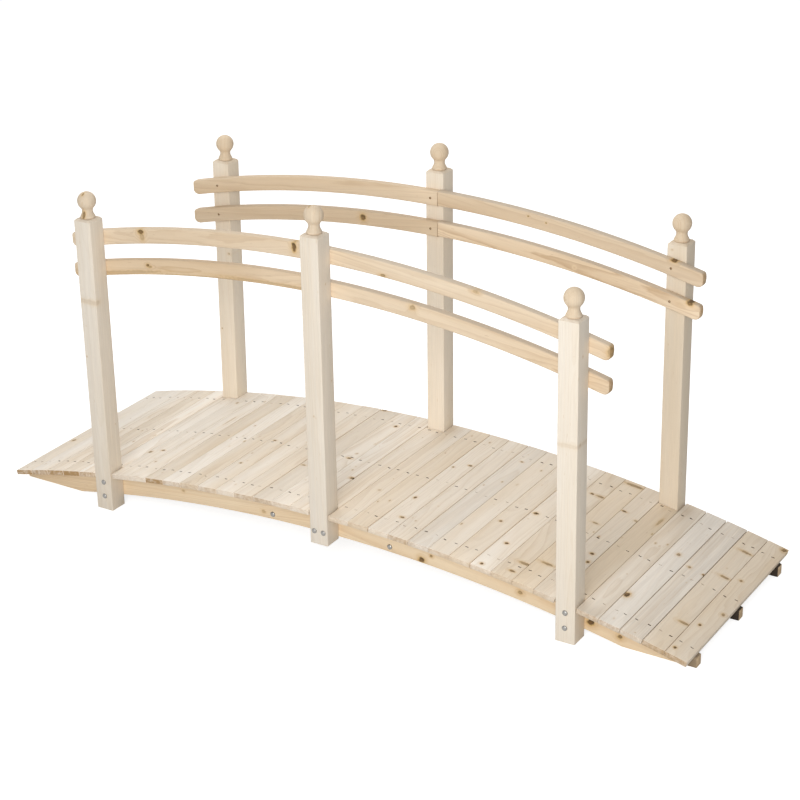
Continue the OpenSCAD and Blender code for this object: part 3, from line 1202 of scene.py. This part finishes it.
class BRIDGE_OT_posts(bpy.types.Operator):
    """Stand the six posts against the stringers"""

    bl_idname = "bridge.posts"
    bl_label = "Posts"

    def execute(self, context):
        rng = random.Random(context.scene.bridge_stage.seed + 1)
        finish = fir_finish("post")
        for key, node in post_nodes("post"):
            low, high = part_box(node)
            tall = high.z - low.z
            cut = Cut(rng, "post", POST_TONES[key], END_BROWN["post"])
            cut.marked_knots(POST_KNOTS.get(key, ()))
            while len(cut.knots) < len(KNOT_LAYERS):
                size = rng.uniform(*POST_PIN_SIZE) * MM
                along = rng.uniform(*POST_PIN_UP) * tall
                across = rng.uniform(-POST_PIN_ACROSS, POST_PIN_ACROSS)
                strength = rng.choice(POST_PIN_STRENGTHS)
                cut.knot(along, across, size, size * POST_PIN_WIDTH, strength, 0.0, rng.choice("yz"))
            stick = post_stick(tall, high.x - low.x)
            lone_stick(node, stick, post_lie(key, node), cut, finish, "post_wood")
        return {"FINISHED"}


# Tints of the finials that were turned from paler wood than their posts
FINIAL_TONES = {"back_right": (0.2, 0.4, 0.0)}
# Height above the post and half width of a finial, in mm: a rolled foot, a bell and a waist
FINIAL_FOOT = (
    (0.0, 18.8), (0.4, 20.0), (1.2, 20.9), (2.5, 21.4), (4.0, 21.5), (5.5, 21.1), (7.2, 20.3), (9.0, 19.3),
    (11.5, 18.0), (14.0, 16.9), (17.0, 16.0), (20.0, 15.6),
)
# Height at which the waist has run into the ball, in mm
FINIAL_SHOULDER = 31.0
# Knots of the finials: height above the post, place to the right, half height and half width, all in mm,
# and strength
FINIAL_KNOTS = {
    "front_left": ((12, 1, 12, 4, 0.8), (72, 0, 3, 3, 0.7)),
    "front_middle": ((74, -8, 2, 3, 0.6),),
}
# Steps from the waist to the shoulder and over the ball, half width of the ball's tip, and sides of the
# turning
SHOULDER_STEPS = 8
BALL_STEPS = 30
BALL_TIP = 0.6 * MM
FINIAL_SIDES = 56


def finial_profile(ball_diameter, height):
    """A finial's half outline, from its foot to the top of its ball."""
    radius = ball_diameter / 2
    ball_middle = height - radius
    profile = in_mm(FINIAL_FOOT)
    waist, waist_width = profile[-1]
    shoulder = FINIAL_SHOULDER * MM
    shoulder_width = math.sqrt(radius ** 2 - (ball_middle - shoulder) ** 2)
    shoulder_slope = (ball_middle - shoulder) / shoulder_width
    rise = shoulder - waist
    for i in range(1, SHOULDER_STEPS):
        t = i / SHOULDER_STEPS
        blend = t * t * (3 - 2 * t)
        flare = t * t * (t - 1) * rise * shoulder_slope
        profile.append((waist + t * rise, waist_width + (shoulder_width - waist_width) * blend + flare))
    low_angle = math.acos((shoulder - ball_middle) / radius)
    for i in range(BALL_STEPS):
        angle = low_angle * (1 - i / BALL_STEPS)
        profile.append((ball_middle + radius * math.cos(angle), radius * math.sin(angle)))
    profile.append((height, BALL_TIP))
    return profile


class BRIDGE_OT_finials(bpy.types.Operator):
    """Set a turned ball finial on every post"""

    bl_idname = "bridge.finials"
    bl_label = "Finials"

    def execute(self, context):
        rng = random.Random(context.scene.bridge_stage.seed + 2)
        finish = fir_finish("finial")
        for key, node in post_nodes("finial"):
            low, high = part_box(node)
            cut = Cut(rng, "finial", FINIAL_TONES.get(key, POST_TONES[key]), END_BROWN["finial"])
            cut.marked_knots(FINIAL_KNOTS.get(key, ()))
            shape = turned(finial_profile(high.x - low.x, high.z - low.z), FINIAL_SIDES)
            lone_stick(node, shape, post_lie(key, node), cut, finish, "finial_wood", all_smooth=True)
        return {"FINISHED"}


# Lightness, warmth, stain and figure of each half rail
RAIL_LOOKS = {
    "upper_rail_front_left": (0.25, 0.3, 0.05, 0.6), "upper_rail_front_right": (0.1, 0.3, 0.0, 0.8),
    "lower_rail_front_left": (0.3, 0.65, 0.0, 1.0), "lower_rail_front_right": (0.2, 0.45, 0.0, 0.9),
    "upper_rail_back_left": (0.5, 0.5, 0.0, 0.7), "upper_rail_back_right": (0.1, 0.55, 0.05, 0.9),
    "lower_rail_back_left": (0.4, 0.6, 0.06, 0.6), "lower_rail_back_right": (1.6, 0.4, 0.0, 1.4),
}
# How far each half rail sits above its drawn place at its joint and at its nose, and how much shorter it is,
# in mm
RAIL_SETS = {
    "upper_rail_front_left": (2.0, 3.5, -13.0), "upper_rail_front_right": (2.0, -4.5, 3.0),
    "lower_rail_front_left": (3.0, 3.5, -13.0), "lower_rail_front_right": (1.0, -5.0, 3.0),
    "upper_rail_back_left": (0.0, 0.0, 2.5), "upper_rail_back_right": (1.5, 6.0, 0.0),
    "lower_rail_back_left": (0.0, 0.0, 0.5), "lower_rail_back_right": (2.0, 2.0, 4.5),
}
# Knots of the rails: place along the bridge, height above the rail's middle line, half length and
# half height, all in mm, and strength
RAIL_KNOTS = {
    "upper_rail_front_left": ((-615, 16, 9, 7, 0.9), (-612, 2, 8, 14, 0.5), (-90, 10, 7, 13, 0.95)),
    "upper_rail_front_right": ((190, -16, 8, 4, 0.7), (470, 17, 9, 4, 0.5), (856, 2, 9, 14, 0.62)),
    "lower_rail_front_left": ((-597, 9, 5, 4, 0.9), (-590, 5, 7, 3, 0.6), (-690, -12, 130, 6, 0.42),
                              (-430, -19, 140, 4, 0.42), (-180, -14, 150, 5, 0.42)),
    "lower_rail_front_right": ((280, 10, 9, 7, 0.6),),
    "lower_rail_back_left": ((-230, 3, 9, 9, 0.9),),
    "upper_rail_back_right": ((768, 29, 8, 3.5, 0.95), (322, 13, 3, 2, 0.8), (379, 8, 3, 2, 0.7)),
    "lower_rail_back_right": ((822, 21, 9, 6, 0.9), (796, 6, 14, 6, 0.2), (470, -4, 3, 3, 0.3)),
}
# How much of the sawn colour the top and bottom edges of the rails take: rough sawn wood, and painted shade
# that is stronger on the right rails, whose tops tilt away from the light
RAIL_SAWN_AND_SHADE = {"left": 0.2, "right": 0.6}
# Stations along a rail and round its nose, and how much of its edges' rounding narrows the nose
RAIL_STEPS = 56
NOSE_STEPS = 14
NOSE_NARROWING = 0.8
# Places of the rail screws along the bridge, in m: at the end posts, and at the middle posts
SCREW_AT_END = 0.762
SCREW_AT_MIDDLE = 0.002
# Reach of a screw hole's dark wall over the head's diameter, and how far its cutter stands out of the wood
HOLE_REACH = 0.51
HOLE_OVERCUT = 4.0 * MM
# A screw: radius of its shank, and its head, as mm out of the wood and share of the head's diameter
SCREW_SHANK = 1.2 * MM
SCREW_BOTTOM = -4.0 * MM
SCREW_HEAD = ((-4.0, 0.30), (-1.5, 0.485), (-1.0, 0.46), (-0.8, 0.2), (-2.0, 0.12))
SCREW_SIDES = 24


def rail_radius():
    """Radius of the rails' middle line, which passes at one height below every post top."""
    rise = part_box("post_front_middle")[0].z
    reach = middle_of("post_front_right").x
    return (reach * reach + rise * rise) / (2 * rise)


def corner_cut(to_tip, radius):
    """How much a rounded corner takes off a rail's height, at a distance from its tip."""
    inside = max(radius - to_tip, 0.0)
    return radius - math.sqrt(radius * radius - inside * inside)


def rail_stations(node):
    """Stations of half a rail, from its joint to its nose: place, top, bottom and half thickness."""
    sizes = bpy.context.scene.bridge_rails
    low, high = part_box(node)
    radius = rail_radius()
    half = sizes.rail_height / 2
    centre = high.z - half - radius
    joint_set, nose_set, trim = RAIL_SETS[node]
    end = end_of(node)
    joint, tip = (low.x, high.x) if end > 0 else (high.x, low.x)
    joint += end * sizes.rail_joint / 2
    tip -= end * trim * MM
    run = tip - joint
    nose = max(sizes.nose_top, sizes.nose_bottom)
    places = [joint + (run - end * nose) * i / RAIL_STEPS for i in range(RAIL_STEPS + 1)]
    for i in range(1, NOSE_STEPS + 1):
        places.append(tip - end * nose * math.cos(math.pi / 2 * i / NOSE_STEPS))
    half_thick = (high.y - low.y) / 2
    stations = []
    for x in places:
        outer = math.sqrt((radius + half) ** 2 - x * x)
        inner = math.sqrt((radius - half) ** 2 - x * x)
        rise = (joint_set + (nose_set - joint_set) * (x - joint) / run) * MM
        to_tip = abs(tip - x)
        top = centre + outer + rise - corner_cut(to_tip, sizes.nose_top)
        bottom = centre + inner + rise + corner_cut(to_tip, sizes.nose_bottom)
        narrowing = NOSE_NARROWING * corner_cut(to_tip, sizes.rail_ease)
        stations.append((x, top, bottom, half_thick - narrowing))
    return stations


def rail_middle(node, x):
    """Height of a rail's middle line at a place along the bridge."""
    radius = rail_radius()
    half = bpy.context.scene.bridge_rails.rail_height / 2
    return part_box(node)[1].z - half - radius + math.sqrt(radius * radius - x * x)


def screw_spots(stations, sign):
    """Place and height of half a rail's screws: at its end post, and at a middle post that it crosses."""
    reaches = [sign * station[0] for station in stations]
    heights = [(station[1] + station[2]) / 2 for station in stations]
    spots = [SCREW_AT_END * sign]
    if min(reaches) < 0:
        spots.append(SCREW_AT_MIDDLE)
    return [(spot, np.interp(spot * sign, reaches, heights)) for spot in spots]


def half_rail(rng, node, side, end, finish, screws):
    """Makes half a rail with the holes of its screws, and adds the screws to a mesh."""
    metal = bpy.context.scene.bridge_hardware
    stations = rail_stations(node)
    bm = eased_bar(stations, bpy.context.scene.bridge_rails.rail_ease)
    place = lying_along(Vector((0, middle_of(node).y, 0)))
    facing = SIDES[side] * size_of(node).y / 2
    *tone, figure = RAIL_LOOKS[node]
    cut = Cut(rng, "rail", tone, END_BROWN["rail"], figure)
    cutters = bmesh.new()
    for spot, height in screw_spots(stations, ENDS[end]):
        drive = Matrix.Translation((spot, height, facing))
        drive = drive @ Matrix.Rotation(-SIDES[side] * math.pi / 2, 4, "Y")
        radius = metal.screw_head / 2
        hole = turned([(-metal.screw_sink, radius), (HOLE_OVERCUT, radius)], SCREW_SIDES)
        join_into(cutters, hole, drive)
        profile = [(SCREW_BOTTOM, SCREW_SHANK)]
        profile += [(out * MM, metal.screw_head * share) for out, share in SCREW_HEAD]
        join_into(screws, turned(profile, SCREW_SIDES), place @ drive)
        # The hole's walls are darkened as crushed wood and painted shade
        cut.holes.append((spot, height, metal.screw_head * HOLE_REACH))
    for along, above, half_long, half_high, strength in RAIL_KNOTS.get(node, ()):
        x = along * MM
        height = rail_middle(node, x) + above * MM
        along_rail = math.asin(-x / rail_radius())
        cut.knot(x, height, half_long * MM, half_high * MM, strength, along_rail)
    cut.follow(stations)
    lone_stick(node, carve(bm, cutters), place, cut, finish, "rail_wood", sawn=RAIL_SAWN_AND_SHADE[end])


class BRIDGE_OT_rails(bpy.types.Operator):
    """Bend the eight half rails along the posts and screw them on"""

    bl_idname = "bridge.rails"
    bl_label = "Rails"

    def execute(self, context):
        rng = random.Random(context.scene.bridge_stage.seed + 3)
        finish = fir_finish("rail")
        steel = plated_finish("screw_steel", context.scene.bridge_colours.brown_steel, SCREW_GLOSS)
        screws = bmesh.new()
        for side in SIDES:
            for end in ENDS:
                for level in ("upper", "lower"):
                    half_rail(rng, f"{level}_rail_{side}_{end}", side, end, finish, screws)
        settle_shape("rail_screws", screws, steel)
        return {"FINISHED"}


# Knots of the stringers: place along the bridge, depth below the top edge, size, all in mm, and strength
STRINGER_KNOTS = {
    "stringer_front_right": ((301, 68, 8, 0.95), (332, 46, 4, 0.75), (610, 53, 6, 0.7), (822, 49, 9, 1.0),
                             (909, 52, 6, 0.85)),
    "stringer_front_left": ((-520, 40, 4, 0.5), (-230, 58, 5, 0.5)),
}
# How much longer than high those knots are, and how rough the top and bottom edges are sawn
KNOT_STRETCH = 1.2
STRINGER_SAWN = 0.4
# Shares of the reach between which the side faces of the right tips are darkened with painted shade, where
# the deck's last board shades them, and how much in each row
TIP_SHADE_SHARES = (0.95, 0.985)
TIP_SHADE_DEPTHS = {"front": 0.8, "middle": 2.0, "back": 2.0}
# How the stringers and splice boards differ in lightness and in warmth
STRINGER_LIGHT = 0.3
STRINGER_WARM = (0.2, 0.6)
SPLICE_WARM = (0.2, 0.7)
# Stations from the middle to where the underside meets the ground, and from there to the tip
STRINGER_STEPS = 44
TIP_STEPS = 8


def stringer_stations(node):
    """Stations of half a stringer, from the middle of the bridge to its tip on the ground."""
    sizes = bpy.context.scene.bridge_deck
    low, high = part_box(node)
    sign = end_of(node)
    reach = max(high.x, -low.x)
    drop = sizes.arch_radius - arch_top()
    under = sizes.arch_radius - sizes.stringer_depth
    ground = math.sqrt(under * under - drop * drop)
    places = [ground * i / STRINGER_STEPS for i in range(STRINGER_STEPS + 1)]
    places += [ground + (reach - ground) * i / TIP_STEPS for i in range(1, TIP_STEPS + 1)]
    return [(sign * x, arch_height(x), max(arch_height(x, sizes.stringer_depth), 0.0)) for x in places]


class BRIDGE_OT_stringers(bpy.types.Operator):
    """Cut the arched stringers and the boards that join their halves"""

    bl_idname = "bridge.stringers"
    bl_label = "Stringers"

    def execute(self, context):
        ease_radius = context.scene.bridge_deck.stringer_ease
        rng = random.Random(context.scene.bridge_stage.seed + 4)
        finish = fir_finish("stringer")
        for row in STRINGER_ROWS:
            for end in ENDS:
                node = f"stringer_{row}_{end}"
                stations = stringer_stations(node)
                bm = bent_slab(stations, size_of(node).y)
                ease(bm, edges_sharper_than(bm, ARCH_CORNER), ease_radius, 2)
                tone = (rng.gauss(0.0, STRINGER_LIGHT), rng.uniform(*STRINGER_WARM), 0.0)
                cut = Cut(rng, "stringer", tone, END_BROWN["stringer"])
                # The side faces near the right tips take painted shade
                if end == "right":
                    shade_start, shade_full = (share * stations[-1][0] for share in TIP_SHADE_SHARES)
                    cut.tip_shade = (shade_start, shade_full, TIP_SHADE_DEPTHS[row])
                for along, below, size, strength in STRINGER_KNOTS.get(node, ()):
                    height = arch_height(along * MM) - below * MM
                    cut.knot(along * MM, height, KNOT_STRETCH * size * MM, size * MM, strength)
                cut.follow(stations)
                place = lying_along(Vector((0, middle_of(node).y, 0)))
                lone_stick(node, bm, place, cut, finish, "stringer_wood", sawn=STRINGER_SAWN)
            node = f"splice_{row}"
            sides = size_of(node)
            bm = sawn_block(sides.x, sides.z, sides.y)
            ease(bm, edges_sharper_than(bm, SQUARE_CORNER), ease_radius, 2)
            tone = (rng.gauss(0.0, STRINGER_LIGHT), rng.uniform(*SPLICE_WARM), 0.0)
            cut = Cut(rng, "splice", tone, END_BROWN["splice"])
            lone_stick(node, bm, lying_along(middle_of(node)), cut, finish, "stringer_wood")
        return {"FINISHED"}


# Heights of the bolts in the end posts, and place along the bridge and height of the others, in m
END_BOLTS = (0.045, 0.091)
MIDDLE_BOLTS = ((-0.015, 0.127), (0.015, 0.127))
SPLICE_BOLTS = ((-0.198, 0.106), (0.198, 0.106))
# A bolt's head: depth of its rim in the wood, height of its rim, shares of its radius at its foot and
# its tip, steps of its dome, and sides
RIM_BITE = 0.6 * MM
RIM_HEIGHT = 0.7 * MM
RIM_FOOT = 0.98
DOME_TIP = 0.03
DOME_STEPS = 9
BOLT_SIDES = 32
# The washer: mm out of the wood, and mm added to its radius
WASHER_RIM = ((-0.2, -0.3), (0.0, 0.0), (1.1, 0.0), (1.4, -0.3))
# The nut: mm out of the wood, and share of the reach of its corners
NUT_OUTLINE = ((1.2, 1.0), (6.0, 1.0), (6.6, 0.9))
NUT_SIDES = 6
# The thread: mm out of the wood and radius in mm, of its start, its first turn and its end
THREAD_START = (5.0, 3.5)
THREAD_TURN = ((6.4, 4.0), (6.9, 3.4))
THREAD_END = (12.6, 2.8)
THREAD_TURNS = 6
THREAD_SIDES = 20


def bolt_head(metal):
    """A smooth domed bolt head on X, out of the wood."""
    radius = metal.bolt_head / 2
    profile = [(-RIM_BITE, radius * RIM_FOOT), (0.0, radius), (RIM_HEIGHT, radius)]
    for i in range(1, DOME_STEPS):
        angle = math.pi / 2 * i / DOME_STEPS
        out = RIM_HEIGHT + (metal.bolt_dome - RIM_HEIGHT) * math.sin(angle)
        profile.append((out, radius * math.cos(angle)))
    profile.append((metal.bolt_dome, radius * DOME_TIP))
    return turned(profile, BOLT_SIDES)


def bolt_tail(metal):
    """The other end of a bolt: a washer, a hexagonal nut and the end of the thread."""
    washer = [(out * MM, metal.washer / 2 + wider * MM) for out, wider in WASHER_RIM]
    corner = metal.nut_width / math.sqrt(3)
    nut = [(out * MM, corner * share) for out, share in NUT_OUTLINE]
    thread = [THREAD_START]
    for i in range(THREAD_TURNS):
        thread += [(out + i, radius) for out, radius in THREAD_TURN]
    thread.append(THREAD_END)
    bm = turned(washer, BOLT_SIDES)
    join_into(bm, turned(nut, NUT_SIDES), Matrix.Identity(4))
    join_into(bm, turned(in_mm(thread), THREAD_SIDES), Matrix.Identity(4))
    return bm


def drive_bolts(bm, spots, head_face, tail_face, heading):
    """Adds bolts at places along the bridge and heights: heads on one face, tails on another."""
    metal = bpy.context.scene.bridge_hardware
    for x, z in spots:
        join_into(bm, bolt_head(metal), driven_towards(Vector((x, head_face, z)), heading))
        join_into(bm, bolt_tail(metal), driven_towards(Vector((x, tail_face, z)), -heading))


class BRIDGE_OT_bolts(bpy.types.Operator):
    """Bolt the posts and the splice boards to the stringers"""

    bl_idname = "bridge.bolts"
    bl_label = "Bolts"

    def execute(self, context):
        finish = plated_finish("bright_zinc", context.scene.bridge_colours.zinc, ZINC_GLOSS)
        post_x = middle_of("post_front_right").x
        end_bolts = [(x, z) for x in (-post_x, post_x) for z in END_BOLTS]
        bm = bmesh.new()
        for side, sign in SIDES.items():
            post_face = sign * max(abs(corner.y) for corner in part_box(f"post_{side}_left"))
            stringer = [abs(corner.y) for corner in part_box(f"stringer_{side}_left")]
            behind_splice = sign * min(abs(corner.y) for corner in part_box(f"splice_{side}"))
            drive_bolts(bm, end_bolts, post_face, sign * min(stringer), sign)
            drive_bolts(bm, MIDDLE_BOLTS, post_face, behind_splice, sign)
            drive_bolts(bm, SPLICE_BOLTS, sign * max(stringer), behind_splice, sign)
        head_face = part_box("stringer_middle_left")[0].y
        tail_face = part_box("splice_middle")[1].y
        drive_bolts(bm, SPLICE_BOLTS + MIDDLE_BOLTS, head_face, tail_face, -1)
        bmesh.ops.recalc_face_normals(bm, faces=bm.faces[:])
        for face in bm.faces:
            face.smooth = True
        bolts = settle_shape("zinc_bolts", bm, finish)
        bolts.data.set_sharp_from_angle(angle=SHARP_METAL)
        return {"FINISHED"}


# Width of the camera's sensor in mm, how far it sees, and how far the floor lies below the bridge, in m
SENSOR_WIDTH = 36.0
SIGHT = 200.0
FLOOR_GAP = 0.4 * MM


class BRIDGE_OT_stage(bpy.types.Operator):
    """Set up the camera, the light and the pale floor"""

    bl_idname = "bridge.stage"
    bl_label = "Stage"

    def execute(self, context):
        scene = context.scene
        stage = scene.bridge_stage
        scene.view_settings.view_transform = "Standard"

        camera = bpy.data.objects.new("camera", bpy.data.cameras.new("camera"))
        camera.data.sensor_fit = "HORIZONTAL"
        camera.data.sensor_width = SENSOR_WIDTH
        camera.data.lens = stage.camera_lens
        camera.data.clip_end = SIGHT
        aim = Matrix.Rotation(stage.camera_turn, 4, "Z")
        aim = aim @ Matrix.Rotation(math.pi / 2 - stage.camera_dip, 4, "X")
        aim = aim @ Matrix.Rotation(stage.camera_roll, 4, "Z")
        camera.matrix_world = Matrix.Translation(stage.camera_place) @ aim
        scene.collection.objects.link(camera)
        scene.camera = camera

        for name in ("softbox", "overhead"):
            lamp = bpy.data.objects.new(name, bpy.data.lights.new(name, "AREA"))
            lamp.data.energy = getattr(stage, f"{name}_power")
            lamp.data.shape = "SQUARE"
            lamp.data.size = getattr(stage, f"{name}_size")
            lamp.location = getattr(stage, f"{name}_place")
            away = lamp.location - Vector(stage.softbox_aim)
            lamp.rotation_euler = away.to_track_quat("Z", "Y").to_euler()
            scene.collection.objects.link(lamp)

        web = NodeWeb(bpy.data.worlds.new("pale_room"))
        web.nodes.remove(web.nodes["Background"])
        room = web.add("Background", {"Color": WHITE, "Strength": stage.room_power})
        white = web.add("Background", {"Color": WHITE, "Strength": 1.0})
        web.by_sight(room, white, "World Output")
        scene.world = web.owner

        bm = bmesh.new()
        bmesh.ops.create_grid(bm, x_segments=1, y_segments=1, size=stage.floor_size / 2)
        floor = scratch_object(bm, "floor")
        floor.data.materials.append(floor_finish("pale_floor", stage.floor_pale))
        floor.location.z = cad_low.z - FLOOR_GAP
        return {"FINISHED"}


OPERATORS = (
    BRIDGE_OT_stringers,
    BRIDGE_OT_deck,
    BRIDGE_OT_posts,
    BRIDGE_OT_finials,
    BRIDGE_OT_rails,
    BRIDGE_OT_bolts,
    BRIDGE_OT_stage,
)


class BRIDGE_PT_sidebar(bpy.types.Panel):
    """Lists the bridge's sizes, colours and pieces"""

    bl_idname = "BRIDGE_PT_sidebar"
    bl_label = "Garden bridge"
    bl_space_type = "VIEW_3D"
    bl_region_type = "UI"
    bl_category = "Bridge"

    def draw(self, context):
        for group_name, group in SETTING_GROUPS.items():
            box = self.layout.box()
            settings = getattr(context.scene, group_name)
            for setting in group.__annotations__:
                box.prop(settings, setting)
        for operator in OPERATORS:
            self.layout.operator(operator.bl_idname)


def register():
    """Registers the settings, the operators and the panel."""
    for name, group in SETTING_GROUPS.items():
        bpy.utils.register_class(group)
        setattr(bpy.types.Scene, name, PointerProperty(type=group))
    for operator in OPERATORS:
        bpy.utils.register_class(operator)
    bpy.utils.register_class(BRIDGE_PT_sidebar)


def unregister():
    """Takes the panel, the operators and the settings out again."""
    bpy.utils.unregister_class(BRIDGE_PT_sidebar)
    for operator in reversed(OPERATORS):
        bpy.utils.unregister_class(operator)
    for name, group in SETTING_GROUPS.items():
        delattr(bpy.types.Scene, name)
        bpy.utils.unregister_class(group)


def main():
    """Builds the bridge and its stage."""
    register()
    bpy.ops.bridge.stringers()
    bpy.ops.bridge.deck()
    bpy.ops.bridge.posts()
    bpy.ops.bridge.finials()
    bpy.ops.bridge.rails()
    bpy.ops.bridge.bolts()
    bpy.ops.bridge.stage()


if __name__ == "__main__":
    main()
